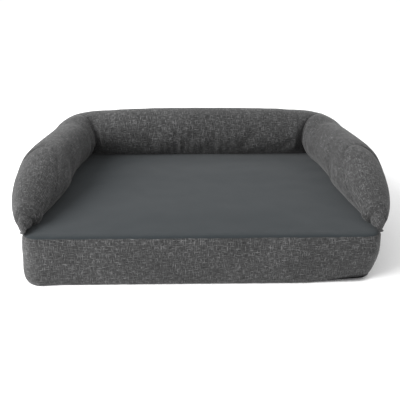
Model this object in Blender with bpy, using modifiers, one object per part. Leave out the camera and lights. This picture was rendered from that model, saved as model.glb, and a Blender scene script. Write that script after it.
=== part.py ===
"""A sofa-style pet bed: a zipped foam mattress with a U-shaped stuffed bolster sewn on top.

The mattress is a bottom panel, a boxing band, a plush sleeping panel and a rear zip around a
lined stack of two foams. The bolster is a back roll and two arms that meet it at mitred seams,
each a cloth cover over a lining and a stuffed filling. Each arm runs forward to a front corner
of the mattress, gets lower towards its tip, and is closed by a sloped end panel.
X is the width, -Y is the front, Z is up, and the origin is on the floor under the middle.
"""

import math

import bmesh
import bpy
from mathutils import Vector

COLLECTION = "pet_cushion_bed"
GAP = 0.0003  # between any two pieces that touch

# Mattress
BASE_WIDTH = 0.910
BASE_DEPTH = 0.685
BASE_HEIGHT = 0.140
FRONT_CORNER_RADIUS = 0.045
BACK_CORNER_RADIUS = 0.105
CORNER_SEGMENTS = 8
BOTTOM_THICKNESS = 0.0015
BAND_THICKNESS = 0.0016
PLUSH_THICKNESS = 0.004
LINER_THICKNESS = 0.0006
TOPPER_THICKNESS = 0.040
FOAM_EASE = 0.001  # all round, between the liner and the foam in it
ZIP_ROOM = 0.004  # behind the foam, for the inner plate of the slider

# Rear zip
ZIP_END_MARGIN = 0.010  # from the end of a rear corner to the end of the zip
ZIP_HEIGHT = 0.070
TAPE_WIDTH = 0.010
COIL_WIDTH = 0.0030
COIL_DEPTH = 0.0024
COIL_SPLIT = 0.0014  # between the two halves of the coil
STOP_LENGTH = 0.0024
STOP_HEIGHT = 0.0075
STOP_DEPTH = 0.0032

# Zip slider and its pull tab
SLIDER_LENGTH = 0.0090
SLIDER_HEIGHT = 0.0090
PLATE_THICKNESS = 0.0010
SLIDER_CLEARANCE = 0.0004
POST_LENGTH = 0.0030
BRIDGE_WIDTH = 0.0020
BRIDGE_LEG = 0.0012
BRIDGE_SPAN = 0.0052  # between the legs
BRIDGE_RISE = 0.0028  # under the bar
BRIDGE_BAR = 0.0012
TAB_LENGTH = 0.030
TAB_THICKNESS = 0.0012
TAB_SIDE = 0.0016  # of the frame round its eye, and its cross bar
TAB_EYE_LENGTH = 0.0064
TAB_EYE_CLEARANCE = 0.0006
TAB_WIDTH_AT_END = 0.0080

# Care label, sewn in beside the zip
LABEL_WIDTH = 0.030
LABEL_HEIGHT = 0.042
LABEL_THICKNESS = 0.0005
LABEL_FROM_CORNER = 0.060

# Bolster
BACK_HALF_WIDTH = 0.075
BACK_HEIGHT = 0.140
BACK_OVERHANG = 0.012  # of the back roll past the back of the mattress
ARM_HALF_WIDTH = 0.0665
ARM_HEIGHT = 0.131
SECTION_ROUNDNESS = 0.89  # height of a section's widest level, as a share of its upper radius
STEEPEST_FOOT = 0.97  # keeps some flat under a filling that is too small to reach its lining
INNER_CORNER_RADIUS = 0.020  # left inside the bend of the back roll
BEZIER_CIRCLE = 0.5523  # handle length that makes a Bezier corner nearly round
ARM_ROOT_IN = 0.0555  # from the side of the mattress in to an arm's centre line
ARM_BOW_OUT = 0.0050  # from the side of the mattress out to the arm's bowed control point
ARM_TIP_IN = 0.0020
TIP_SETBACK = 0.0255  # from the front of the mattress back to an arm's tip
TAPER_LENGTH = 0.272
TAPER_POWER = 1.36
TIP_HALF_WIDTH = 0.014
TIP_HEIGHT = 0.032
COVER_THICKNESS = 0.0014
LINING_THICKNESS = 0.0010
LINING_INSET = 0.0014  # from the edge of the cover's underside in to the lining
FILLING_EASE = 0.0025  # between a filling and its cover
SECTION_POINTS = 18
BACK_STATIONS = 7
CORNER_STATIONS = 5
ARM_STATIONS = 16

# Sloped end panels
PANEL_TOP_BACK = 0.282  # from the tip back to the panel's top seam
PANEL_DROP = 0.030  # how far under the mattress top the seam's plane is at the tip

# Places that follow
BASE_Y = -BACK_OVERHANG / 2
FRONT_Y = BASE_Y - BASE_DEPTH / 2
BACK_Y = BASE_Y + BASE_DEPTH / 2
BAND_BOTTOM = BOTTOM_THICKNESS + GAP
PLUSH_BOTTOM = BASE_HEIGHT - PLUSH_THICKNESS
BAND_TOP = PLUSH_BOTTOM - GAP
LINER_INSET = BAND_THICKNESS + GAP
FOAM_INSET = LINER_INSET + LINER_THICKNESS + FOAM_EASE
FOAM_BOTTOM = BAND_BOTTOM + LINER_THICKNESS + FOAM_EASE
FOAM_TOP = BAND_TOP - LINER_THICKNESS - FOAM_EASE
TOPPER_BOTTOM = FOAM_TOP - TOPPER_THICKNESS
TAPE_START = COIL_SPLIT / 2 + COIL_WIDTH + GAP  # from the zip's middle
ZIP_HALF_OPENING = TAPE_START + TAPE_WIDTH + GAP
ZIP_HALF_LENGTH = BASE_WIDTH / 2 - BACK_CORNER_RADIUS - ZIP_END_MARGIN
BOLSTER_BOTTOM = BASE_HEIGHT + GAP
CORNER_SIZE = BACK_HALF_WIDTH + INNER_CORNER_RADIUS
LINING_TOP = BOLSTER_BOTTOM + LINING_THICKNESS
FILLING_INSET = COVER_THICKNESS + FILLING_EASE
FILLING_FLOOR = LINING_THICKNESS + GAP  # above the underside of the bolster
COIL_Y = BACK_Y - BAND_THICKNESS / 2
COIL_INNER_Y = COIL_Y - COIL_DEPTH / 2
COIL_OUTER_Y = COIL_Y + COIL_DEPTH / 2
OUTER_PLATE_Y = COIL_OUTER_Y + SLIDER_CLEARANCE
BRIDGE_FOOT_Y = OUTER_PLATE_Y + PLATE_THICKNESS
PIVOT_Y = BRIDGE_FOOT_Y + BRIDGE_RISE / 2
SLIDER_X = ZIP_HALF_LENGTH - SLIDER_CLEARANCE - SLIDER_LENGTH / 2

# Colour, roughness and metallic value of each material
MATERIALS = {
    "linen_weave": ((0.080, 0.080, 0.081), 0.95, 0.0),
    "plush_suede": ((0.078, 0.089, 0.096), 0.90, 0.0),
    "underside_cloth": ((0.020, 0.020, 0.021), 0.90, 0.0),
    "liner_cloth": ((0.60, 0.60, 0.58), 0.85, 0.0),
    "support_foam": ((0.55, 0.55, 0.52), 0.95, 0.0),
    "memory_foam": ((0.62, 0.66, 0.72), 0.90, 0.0),
    "polyester_fibre": ((0.85, 0.85, 0.84), 0.95, 0.0),
    "zip_tape": ((0.030, 0.030, 0.031), 0.85, 0.0),
    "zip_coil": ((0.025, 0.025, 0.026), 0.45, 0.0),
    "zip_metal": ((0.060, 0.060, 0.062), 0.40, 0.9),
    "label_cloth": ((0.70, 0.70, 0.68), 0.80, 0.0),
}


def clear_scene():
    for item in list(bpy.data.objects):
        bpy.data.objects.remove(item, do_unlink=True)


def make_collection(name):
    collection = bpy.data.collections.new(name)
    bpy.context.scene.collection.children.link(collection)
    return collection


def make_material(name, slot):
    colour, roughness, metallic = MATERIALS[slot]
    material = bpy.data.materials.new(name)
    material.use_nodes = True
    shader = material.node_tree.nodes["Principled BSDF"]
    shader.inputs["Base Color"].default_value = (*colour, 1.0)
    shader.inputs["Roughness"].default_value = roughness
    shader.inputs["Metallic"].default_value = metallic
    return material


def add_part(name, data, slot, collection, smooth=False):
    """Links a mesh or curve as one named sub-part with a material of its own."""
    part = bpy.data.objects.new(name, data)
    collection.objects.link(part)
    data.materials.append(make_material(name + "_" + slot, slot))
    if smooth:
        data.shade_smooth()
        data.set_sharp_from_angle(angle=math.radians(40))
    return part


def mesh_from(name, build):
    """Runs a function on an empty bmesh and returns the mesh that it fills."""
    shape = bmesh.new()
    build(shape)
    mesh = bpy.data.meshes.new(name)
    shape.to_mesh(mesh)
    shape.free()
    return mesh


def add_solidify(part, thickness):
    """Thickens an open surface away from the side that its faces look to."""
    shell = part.modifiers.new("thickness", "SOLIDIFY")
    shell.thickness = thickness
    shell.offset = -1.0
    shell.use_even_offset = True


def arc_points(centre, radius, start, end, segments):
    angles = [start + (end - start) * i / segments for i in range(segments + 1)]
    return [Vector((centre[0] + radius * math.cos(a), centre[1] + radius * math.sin(a))) for a in angles]


def base_corner(inset, side, front, rear_inset=0.0):
    """One rounded corner of the mattress outline, counter-clockwise."""
    radius = (FRONT_CORNER_RADIUS if front else BACK_CORNER_RADIUS) - inset
    x = side * (BASE_WIDTH / 2 - inset - radius)
    y = FRONT_Y + inset + radius if front else BACK_Y - inset - rear_inset - radius
    start = {(1, True): -90, (1, False): 0, (-1, False): 90, (-1, True): 180}[side, front]
    angle = math.radians(start)
    return arc_points((x, y), radius, angle, angle + math.pi / 2, CORNER_SEGMENTS)


def base_outline(inset, rear_inset=0.0):
    """The mattress outline from the front right corner round to the front left one."""
    corners = [(1, True), (1, False), (-1, False), (-1, True)]
    return [point for side, front in corners for point in base_corner(inset, side, front, rear_inset)]


def add_plate(name, outlines, bottom, thickness, slot, collection):
    """A flat piece: a filled 2D curve, with any further outlines as holes."""
    curve = bpy.data.curves.new(name, "CURVE")
    curve.dimensions = "2D"
    curve.fill_mode = "BOTH"
    curve.extrude = thickness / 2
    for outline in outlines:
        spline = curve.splines.new("POLY")
        spline.points.add(len(outline) - 1)
        for point, place in zip(spline.points, outline):
            point.co = (place[0], place[1], 0.0, 1.0)
        spline.use_cyclic_u = True
    part = bpy.data.objects.new(name, curve)
    collection.objects.link(part)
    curve.materials.append(make_material(name + "_" + slot, slot))
    part.location.z = bottom + thickness / 2
    return part


def add_box(name, low, high, slot, collection):
    def build(shape):
        bmesh.ops.create_cube(shape, size=1.0)
        centre = (Vector(low) + Vector(high)) / 2
        size = Vector(high) - Vector(low)
        bmesh.ops.scale(shape, vec=size, verts=shape.verts)
        bmesh.ops.translate(shape, vec=centre, verts=shape.verts)

    return add_part(name, mesh_from(name, build), slot, collection)


def add_band(name, outline, bottom, top, thickness, slot, collection):
    """A standing strip of cloth along an outline, thickened inwards."""

    def build(shape):
        rows = [[shape.verts.new((p.x, p.y, z)) for p in outline] for z in (bottom, top)]
        for i in range(len(outline) - 1):
            shape.faces.new((rows[0][i], rows[0][i + 1], rows[1][i + 1], rows[1][i]))

    part = add_part(name, mesh_from(name, build), slot, collection, smooth=True)
    add_solidify(part, thickness)
    return part


# Mattress


def add_mattress_cover(collection):
    outline = base_outline(0.0)
    add_plate("bottom_panel", [outline], 0.0, BOTTOM_THICKNESS, "underside_cloth", collection)
    add_plate("sleeping_panel", [outline], PLUSH_BOTTOM, PLUSH_THICKNESS, "plush_suede", collection)
    around = base_corner(0.0, -1, False) + base_corner(0.0, -1, True)
    around += base_corner(0.0, 1, True) + base_corner(0.0, 1, False)
    args = (BAND_THICKNESS, "linen_weave", collection)
    add_band("boxing_band", around, BAND_BOTTOM, BAND_TOP, *args)
    end = BASE_WIDTH / 2 - BACK_CORNER_RADIUS - GAP
    rear = [Vector((end, BACK_Y)), Vector((-end, BACK_Y))]
    add_band("rear_band_lower", rear, BAND_BOTTOM, ZIP_HEIGHT - ZIP_HALF_OPENING, *args)
    add_band("rear_band_upper", rear, ZIP_HEIGHT + ZIP_HALF_OPENING, BAND_TOP, *args)


def add_foam_stack(collection):
    outline = base_outline(FOAM_INSET, ZIP_ROOM)
    support_top = TOPPER_BOTTOM - GAP
    add_plate("support_foam", [outline], FOAM_BOTTOM, support_top - FOAM_BOTTOM, "support_foam", collection)
    add_plate("memory_foam_topper", [outline], TOPPER_BOTTOM, TOPPER_THICKNESS, "memory_foam", collection)


def add_foam_liner(collection):
    """A thin bag round both foams, open along its back edge."""
    outline = base_outline(LINER_INSET, ZIP_ROOM)
    start = 2 * (CORNER_SEGMENTS + 1)  # the rear left corner comes third in the outline
    around = outline[start:] + outline[:start]

    def build(shape):
        rows = [[shape.verts.new((p.x, p.y, z)) for p in around] for z in (BAND_BOTTOM, BAND_TOP)]
        for i in range(len(around) - 1):
            shape.faces.new((rows[0][i], rows[0][i + 1], rows[1][i + 1], rows[1][i]))
        shape.faces.new(rows[0][::-1])
        shape.faces.new(rows[1])

    part = add_part("foam_liner", mesh_from("foam_liner", build), "liner_cloth", collection)
    add_solidify(part, LINER_THICKNESS)


# Rear zip


def ordered_box(name, corner, other, slot, collection):
    """A box between two opposite corners, given in either order."""
    low = [min(a, b) for a, b in zip(corner, other)]
    high = [max(a, b) for a, b in zip(corner, other)]
    return add_box(name, low, high, slot, collection)


def add_zip_half(side, sign, collection):
    """The tape and the coil half on one side of the zip's middle."""
    end = BASE_WIDTH / 2 - BACK_CORNER_RADIUS - GAP
    tape_back = BACK_Y - GAP
    tape_z = ZIP_HEIGHT + sign * TAPE_START
    tape_low = (-end, tape_back - BAND_THICKNESS / 2, tape_z)
    tape_high = (end, tape_back, tape_z + sign * TAPE_WIDTH)
    ordered_box("zip_tape_" + side, tape_low, tape_high, "zip_tape", collection)
    coil_z = ZIP_HEIGHT + sign * COIL_SPLIT / 2
    coil_low = (-ZIP_HALF_LENGTH, COIL_INNER_Y, coil_z)
    coil_high = (ZIP_HALF_LENGTH, COIL_OUTER_Y, coil_z + sign * COIL_WIDTH)
    ordered_box("zip_coil_" + side, coil_low, coil_high, "zip_coil", collection)


def add_zip_stop(name, sign, collection):
    near = sign * (ZIP_HALF_LENGTH + GAP)
    corner = (near, COIL_Y - STOP_DEPTH / 2, ZIP_HEIGHT - STOP_HEIGHT / 2)
    other = (near + sign * STOP_LENGTH, COIL_Y + STOP_DEPTH / 2, ZIP_HEIGHT + STOP_HEIGHT / 2)
    ordered_box(name, corner, other, "zip_metal", collection)


def add_boolean(part, operation, other):
    """Joins, cuts or keeps with another solid, which then shows only as a wire frame."""
    other.hide_render = True
    other.display_type = "WIRE"
    boolean = part.modifiers.new(operation.lower(), "BOOLEAN")
    boolean.operation = operation
    boolean.object = other


def centred_box(name, centre, size, collection):
    low = [c - s / 2 for c, s in zip(centre, size)]
    high = [c + s / 2 for c, s in zip(centre, size)]
    return add_box(name, low, high, "zip_metal", collection)


def add_slider(collection, cutters):
    """Two plates over the coil, joined by a post between its halves, with a bridge outside."""
    plate = (SLIDER_LENGTH, PLATE_THICKNESS, SLIDER_HEIGHT)
    outer_y = OUTER_PLATE_Y + PLATE_THICKNESS / 2
    inner_y = COIL_INNER_Y - SLIDER_CLEARANCE - PLATE_THICKNESS / 2
    slider = centred_box("zip_slider", (SLIDER_X, outer_y, ZIP_HEIGHT), plate, collection)
    post_size = (POST_LENGTH, outer_y - inner_y, COIL_SPLIT - 2 * SLIDER_CLEARANCE)
    leg_y = outer_y + (BRIDGE_RISE + BRIDGE_BAR) / 2
    leg_size = (BRIDGE_LEG, BRIDGE_RISE + BRIDGE_BAR, BRIDGE_WIDTH)
    bar_size = (BRIDGE_SPAN + BRIDGE_LEG, BRIDGE_BAR, BRIDGE_WIDTH)
    bar_y = BRIDGE_FOOT_Y + BRIDGE_RISE + BRIDGE_BAR / 2
    leg_x = (BRIDGE_SPAN + BRIDGE_LEG) / 2
    pieces = {
        "slider_inner_plate": ((SLIDER_X, inner_y, ZIP_HEIGHT), plate),
        "slider_post": ((SLIDER_X, (outer_y + inner_y) / 2, ZIP_HEIGHT), post_size),
        "slider_leg_open_side": ((SLIDER_X - leg_x, leg_y, ZIP_HEIGHT), leg_size),
        "slider_leg_closed_side": ((SLIDER_X + leg_x, leg_y, ZIP_HEIGHT), leg_size),
        "slider_bar": ((SLIDER_X, bar_y, ZIP_HEIGHT), bar_size),
    }
    for name, (centre, size) in pieces.items():
        add_boolean(slider, "UNION", centred_box(name, centre, size, cutters))


def add_pull_tab(collection):
    """A flat tab whose cross bar turns under the slider's bridge, lying back along the zip."""
    bar = TAB_SIDE / 2
    eye_half = BRIDGE_WIDTH / 2 + TAB_EYE_CLEARANCE
    neck_half = eye_half + TAB_SIDE
    eye_end = bar + TAB_EYE_LENGTH
    end_radius = TAB_WIDTH_AT_END / 2
    round_end = arc_points((end_radius - TAB_LENGTH, 0), end_radius, math.pi / 2, 3 * math.pi / 2, 8)
    outline = [(bar, -neck_half), (bar, neck_half), (-eye_end, neck_half), *round_end, (-eye_end, -neck_half)]
    eye = [(-bar, -eye_half), (-bar, eye_half), (-eye_end, eye_half), (-eye_end, -eye_half)]
    tab = add_plate("zip_pull_tab", [outline, eye], 0.0, TAB_THICKNESS, "zip_metal", collection)
    tab.location = (SLIDER_X, PIVOT_Y, ZIP_HEIGHT)
    tab.rotation_euler.x = math.pi / 2


def add_care_label(collection):
    """A blank cloth label that hangs from the seam under the zip."""
    left = -BASE_WIDTH / 2 + BACK_CORNER_RADIUS + LABEL_FROM_CORNER
    top = ZIP_HEIGHT - ZIP_HALF_OPENING
    low = (left, BACK_Y + GAP, top - LABEL_HEIGHT)
    high = (left + LABEL_WIDTH, BACK_Y + GAP + LABEL_THICKNESS, top)
    add_box("care_label", low, high, "label_cloth", collection)


# Bolster


class Station:
    """One cross-section of the bolster: its place in plan, its heading and its size."""

    def __init__(self, place, heading, half_width, height):
        self.place = place
        self.heading = heading.normalized()
        self.half_width = half_width
        self.height = height

    def mirrored(self):
        """The matching section of the left half, still facing the same way round the bed."""
        place = Vector((-self.place.x, self.place.y))
        heading = Vector((self.heading.x, -self.heading.y))
        return Station(place, heading, self.half_width, self.height)

    def moved(self, distance):
        return Station(self.place + distance * self.heading, self.heading, self.half_width, self.height)

    def outline(self, inset, floor):
        """Lateral and vertical places from the outer foot over the top to the inner foot."""
        upper = self.height / (1 + SECTION_ROUNDNESS)
        middle = self.height - upper
        start = math.asin(max(-STEEPEST_FOOT, (floor - middle) / (upper - inset)))
        points = []
        for i in range(SECTION_POINTS + 1):
            angle = start + (math.pi - 2 * start) * i / SECTION_POINTS
            lateral = (self.half_width - inset) * math.cos(angle)
            points.append((lateral, middle + (upper - inset) * math.sin(angle)))
        return points

    def ring(self, inset=0.0, floor=0.0):
        outward = Vector((-self.heading.y, self.heading.x))
        ring = []
        for lateral, height in self.outline(inset, floor):
            place = self.place + lateral * outward
            ring.append(Vector((place.x, place.y, BOLSTER_BOTTOM + height)))
        return ring

    def foot_half_width(self):
        return self.outline(0.0, 0.0)[0][0]


def blend(first, second, share):
    return first + (second - first) * share


def corner_handles():
    """The Bezier points of the right corner, and the arm's bowed control point and tip."""
    back_line = BACK_Y + BACK_OVERHANG - BACK_HALF_WIDTH
    root = Vector((BASE_WIDTH / 2 - ARM_ROOT_IN, back_line - CORNER_SIZE))
    tip = Vector((BASE_WIDTH / 2 - ARM_TIP_IN, FRONT_Y + TIP_SETBACK))
    bow = Vector((BASE_WIDTH / 2 + ARM_BOW_OUT, (root.y + tip.y) / 2))
    start = Vector((root.x - CORNER_SIZE, back_line))
    handle = BEZIER_CIRCLE * CORNER_SIZE
    near_root = root - handle * (bow - root).normalized()
    return (start, start + Vector((handle, 0)), near_root, root), bow, tip


def corner_station(share):
    points, _, _ = corner_handles()
    a, b, c, d = points
    rest = 1 - share
    place = rest**3 * a + 3 * rest**2 * share * b + 3 * rest * share**2 * c + share**3 * d
    heading = rest**2 * (b - a) + 2 * rest * share * (c - b) + share**2 * (d - c)
    half_width = blend(BACK_HALF_WIDTH, ARM_HALF_WIDTH, share)
    return Station(place, heading, half_width, blend(BACK_HEIGHT, ARM_HEIGHT, share))


def taper_share(from_tip):
    """1 where an arm is full and 0 at its tip, falling along a rounded line."""
    along = min(1.0, max(0.0, 1 - from_tip / TAPER_LENGTH))
    return (1 - along**TAPER_POWER) ** (1 / TAPER_POWER)


def arm_station(share):
    (_, _, _, root), bow, tip = corner_handles()
    rest = 1 - share
    place = rest**2 * root + 2 * rest * share * bow + share**2 * tip
    heading = rest * (bow - root) + share * (tip - bow)
    full = taper_share(place.y - tip.y)
    half_width = blend(TIP_HALF_WIDTH, ARM_HALF_WIDTH, full)
    return Station(place, heading, half_width, blend(TIP_HEIGHT, ARM_HEIGHT, full))


def back_stations():
    """From the left mitre seam to the right one."""
    right = [corner_station(0.5 * i / CORNER_STATIONS) for i in range(CORNER_STATIONS + 1)]
    left = [station.mirrored() for station in reversed(right)]
    start = right[0].place
    straight = []
    for i in range(1, BACK_STATIONS):
        place = Vector((blend(-start.x, start.x, i / BACK_STATIONS), start.y))
        straight.append(Station(place, Vector((1, 0)), BACK_HALF_WIDTH, BACK_HEIGHT))
    return left + straight + right


def arm_stations():
    """From the right mitre seam to the tip, closer together where the tip rounds off."""
    corner = [corner_station(0.5 + 0.5 * i / CORNER_STATIONS) for i in range(CORNER_STATIONS)]
    corner[0] = corner[0].moved(GAP)
    arm = [arm_station(1 - (1 - i / ARM_STATIONS) ** 1.5) for i in range(ARM_STATIONS + 1)]
    return corner + arm


def add_grid(shape, rings, closed):
    """Quads between neighbouring rings, and from each ring's end to its start if closed."""
    rows = [[shape.verts.new(point) for point in ring] for ring in rings]
    count = len(rings[0])
    for row, following in zip(rows, rows[1:]):
        for i in range(count if closed else count - 1):
            j = (i + 1) % count
            shape.faces.new((row[i], row[j], following[j], following[i]))
    return rows


def flipped(rings, side):
    """The rings of the right arm, or their mirror image for the left one."""
    return [[Vector((side * p.x, p.y, p.z)) for p in ring] for ring in rings]


def add_roll_cover(name, rings, close_tip, side, collection):
    """A cloth skin over the rings, open underneath, and closed at the tip of an arm."""

    def build(shape):
        rows = add_grid(shape, flipped(rings, side), closed=False)
        if close_tip:
            shape.faces.new(rows[-1])
        if side < 0:
            bmesh.ops.reverse_faces(shape, faces=shape.faces)

    cover = add_part(name, mesh_from(name, build), "linen_weave", collection, smooth=True)
    add_solidify(cover, COVER_THICKNESS)
    return cover


def add_filling(name, stations, side, collection):
    rings = flipped([s.ring(FILLING_INSET, FILLING_FLOOR) for s in stations], side)

    def build(shape):
        rows = add_grid(shape, rings, closed=True)
        shape.faces.new(rows[0])
        shape.faces.new(rows[-1][::-1])
        bmesh.ops.recalc_face_normals(shape, faces=shape.faces)

    add_part(name, mesh_from(name, build), "polyester_fibre", collection, smooth=True)


def add_lining(name, stations, side, collection):
    """The flat strip that closes a roll underneath."""
    edges = []
    for station in stations:
        outward = Vector((-station.heading.y, station.heading.x))
        reach = station.foot_half_width() - LINING_INSET
        ends = [station.place + sign * reach * outward for sign in (1, -1)]
        edges.append([Vector((end.x, end.y, LINING_TOP)) for end in ends])

    def build(shape):
        add_grid(shape, flipped(edges, side), closed=False)
        if side < 0:
            bmesh.ops.reverse_faces(shape, faces=shape.faces)

    lining = add_part(name, mesh_from(name, build), "underside_cloth", collection)
    add_solidify(lining, LINING_THICKNESS)


def add_panel_region(name, lift, cutters):
    """A block whose underside is the sloped plane of the end panels' seams."""
    tip_y = FRONT_Y + TIP_SETBACK
    low = Vector((0, tip_y, BOLSTER_BOTTOM - PANEL_DROP + lift))
    rise = ARM_HEIGHT + PANEL_DROP
    slope = math.atan2(rise, PANEL_TOP_BACK)
    width = BASE_WIDTH + 4 * ARM_HALF_WIDTH
    length = 2 * PANEL_TOP_BACK
    block = add_box(name, (-width / 2, -length, 0), (width / 2, length, 2 * ARM_HEIGHT), "linen_weave", cutters)
    block.location = low
    block.rotation_euler.x = slope
    block.hide_render = True
    block.display_type = "WIRE"
    return block


def add_back_roll(collection):
    stations = back_stations()
    add_roll_cover("back_bolster_cover", [s.ring() for s in stations], False, 1, collection)
    add_lining("back_bolster_lining", stations, 1, collection)
    add_filling("back_bolster_filling", stations, 1, collection)


def add_arm(side_name, side, cover_cut, panel_keep, collection):
    """One arm: the cover behind the sloped seam, the end panel in front, lining and filling."""
    stations = arm_stations()
    rings = [s.ring() for s in stations]
    cover = add_roll_cover(side_name + "_arm_cover", rings, True, side, collection)
    add_boolean(cover, "DIFFERENCE", cover_cut)
    panel = add_roll_cover(side_name + "_arm_end_panel", rings, True, side, collection)
    add_boolean(panel, "INTERSECT", panel_keep)
    inner = stations[:-1] + [stations[-1].moved(-2 * FILLING_INSET)]
    add_lining(side_name + "_arm_lining", inner, side, collection)
    add_filling(side_name + "_arm_filling", inner, side, collection)


def main():
    clear_scene()
    collection = make_collection(COLLECTION)
    cutters = make_collection("cutters")
    add_mattress_cover(collection)
    add_foam_stack(collection)
    add_foam_liner(collection)
    for side, sign in (("upper", 1), ("lower", -1)):
        add_zip_half(side, sign, collection)
    for name, sign in (("zip_stop_closed_end", 1), ("zip_stop_open_end", -1)):
        add_zip_stop(name, sign, collection)
    add_slider(collection, cutters)
    add_pull_tab(collection)
    add_care_label(collection)
    add_back_roll(collection)
    cover_cut = add_panel_region("panel_region_for_covers", 0.0, cutters)
    panel_keep = add_panel_region("panel_region_for_panels", GAP, cutters)
    for side_name, side in (("left", -1), ("right", 1)):
        add_arm(side_name, side, cover_cut, panel_keep, collection)


main()
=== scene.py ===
"""A sofa-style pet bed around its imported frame: a plush-topped foam mattress, a stuffed U-shaped
bolster with sloped arm ends, and a zip along the back of the mattress cover.

Lengths are in metres. X is the width, -Y is the front and Z is up, as in the frame.
"""

import math

import bmesh
import bpy
import numpy as np
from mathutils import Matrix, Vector, noise


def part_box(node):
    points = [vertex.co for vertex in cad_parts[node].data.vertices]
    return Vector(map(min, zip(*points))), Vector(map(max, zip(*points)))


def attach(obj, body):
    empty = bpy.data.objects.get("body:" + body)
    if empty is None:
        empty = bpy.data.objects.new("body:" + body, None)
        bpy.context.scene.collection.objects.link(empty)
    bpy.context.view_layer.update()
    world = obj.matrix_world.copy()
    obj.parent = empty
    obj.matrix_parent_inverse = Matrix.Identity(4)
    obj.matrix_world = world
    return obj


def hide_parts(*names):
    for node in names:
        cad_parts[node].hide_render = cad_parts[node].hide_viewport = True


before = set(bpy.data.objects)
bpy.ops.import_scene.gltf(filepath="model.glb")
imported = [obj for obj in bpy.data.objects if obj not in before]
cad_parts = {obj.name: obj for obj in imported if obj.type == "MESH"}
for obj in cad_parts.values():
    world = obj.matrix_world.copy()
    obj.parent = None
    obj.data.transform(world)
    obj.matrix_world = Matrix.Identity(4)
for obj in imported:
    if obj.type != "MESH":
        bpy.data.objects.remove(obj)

for leftover in ("Cube", "Camera", "Light"):
    if leftover in bpy.data.objects:
        bpy.data.objects.remove(bpy.data.objects[leftover])
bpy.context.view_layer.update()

# Camera, light and floor
CAMERA_PLACE = (-0.0285, -1.7024, 0.8630)
CAMERA_DOWN = math.radians(24.72)
CAMERA_TURN = math.radians(-0.95)
CAMERA_LENS = 55.6
LIGHT_PLACE = (-2.8, -1.4, 2.2)
LIGHT_TARGET = (0, 0, 0.1)
LIGHT_SIZE = 3.0
LIGHT_POWER = 260
FLOOR_REACH = 30.0
FLOOR_DROP = 0.0002
FLOOR_COLOUR = (0.94, 0.94, 0.94, 1)

# Mattress, the same as the frame
BASE_LOW, BASE_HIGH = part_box("bottom_panel")
HALF_WIDTH = BASE_HIGH.x
FRONT_Y = BASE_LOW.y
BACK_Y = BASE_HIGH.y
BASE_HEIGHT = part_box("sleeping_panel")[1].z
FRONT_CORNER_RADIUS = 0.045
BACK_CORNER_RADIUS = 0.105
BAND_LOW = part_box("boxing_band")[0].z + 0.0006
BAND_HIGH = BASE_HEIGHT - 0.0060
PLUSH_TOP = BASE_HEIGHT - 0.0004
UNDERSIDE_HEIGHT = 0.0012
OPENING_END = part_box("rear_band_upper")[1].x
ZIP_HEIGHT = (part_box("rear_band_upper")[0].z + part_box("rear_band_lower")[1].z) / 2
ZIP_HALF_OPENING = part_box("rear_band_upper")[0].z - ZIP_HEIGHT

# Cloths, and the spacing of the points across the mattress
BAND_THICKNESS = 0.0016
COVER_THICKNESS = 0.0014
PLUSH_THICKNESS = 0.0030
LINING_THICKNESS = 0.0008
LABEL_THICKNESS = 0.0005
CLOTH_SPACING = 0.008

# The mattress's front corners: the left one flares out, and the right one slumps in and lifts
FLARE = 0.006
SLUMP = 0.014
CORNER_LIFT = 0.010
LEAN_DEPTH = 0.03
LEAN_CENTRE_Y = -0.30

# The band round the mattress
BAND_ROWS = 20
BAND_FULLNESS = 0.0058
BAND_SEAM_IN = 0.0012
BAND_LUMP = 0.0014
TOP_PUCKER = 0.0010
BOTTOM_PUCKER = 0.0007
PUCKER_FADE = 0.12
LOOSE_RIPPLE = 0.0018
SEAM_TURN = 0.0022
CROWN = 0.0035

# Behind the bed: linen flat beside the zip, the zip, its stitching and the label
REAR_STAND = 0.0006
REAR_ROWS = 9
ZIP_END_BLEND = 0.06
ZIP_SIDE_BLEND = 0.045
TAPE_RIPPLE = 0.00012
TOOTH_PITCH = 0.0020
TOOTH_HALF_WIDTH = 0.00062
TOOTH_GAP = 0.00045
STITCH_PITCH = 0.0042
STITCH_OUT = 0.0030
STITCH_HALF_SIZES = (0.00035, 0.00035, 0.00135)
BAR_PROFILE = ((-1.0, 0.55), (-0.6, 1.0), (0.6, 1.0), (1.0, 0.55))
LABEL_STAND = 0.0024
LABEL_CURL = 0.0030
LABEL_RIPPLE = 0.0008

# Rubber dots under the bed, with a profile of heights and shares of the radius
DOT_PITCH = 0.025
DOT_RADIUS = 0.0028
DOT_MARGIN = 0.028
DOT_PROFILE = ((0.0001, 0.78), (0.0007, 1.0), (0.0019, 1.0))

# Foam blocks and the liner round both
FOAM_INSET = 0.020
FOAM_LOW, FOAM_HIGH = 0.0060, 0.1310
FOAM_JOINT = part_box("memory_foam_topper")[0].z
FOAM_HALF_GAP = 0.0005
FOAM_ROUNDING = 0.004
LINER_INSET = 0.0175
LINER_LOW, LINER_HIGH = 0.0042, 0.1328

# Bolster, the same as the frame but for a little at an arm's root and bow
BACK_HALF_WIDTH = 0.075
BACK_HEIGHT = 0.140
BACK_OVERHANG = 0.012
ARM_HALF_WIDTH = 0.0665
ARM_HEIGHT = 0.131
SECTION_ROUNDNESS = 0.89
BEZIER_CIRCLE = 0.5523
CORNER_SIZE = 0.095
ARM_ROOT_IN = 0.0480
ARM_BOW_OUT = 0.0075
ARM_TIP_IN = 0.0020
TIP_SETBACK = 0.0255
TAPER_LENGTH = 0.272
TAPER_POWER = 1.36
TIP_HALF_WIDTH = 0.014
TIP_HEIGHT = 0.032
PANEL_TOP_BACK = 0.282
PANEL_DROP = 0.030
BOLSTER_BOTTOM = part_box("back_bolster_cover")[0].z
ROLL_GIRTH = 2.45 * BACK_HEIGHT

# Spacing of the rolls' points
LINE_POINTS = 400
RING_SPACING = 0.006
PANEL_SPACING = 0.0042
SECTION_POINTS = 58

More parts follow.
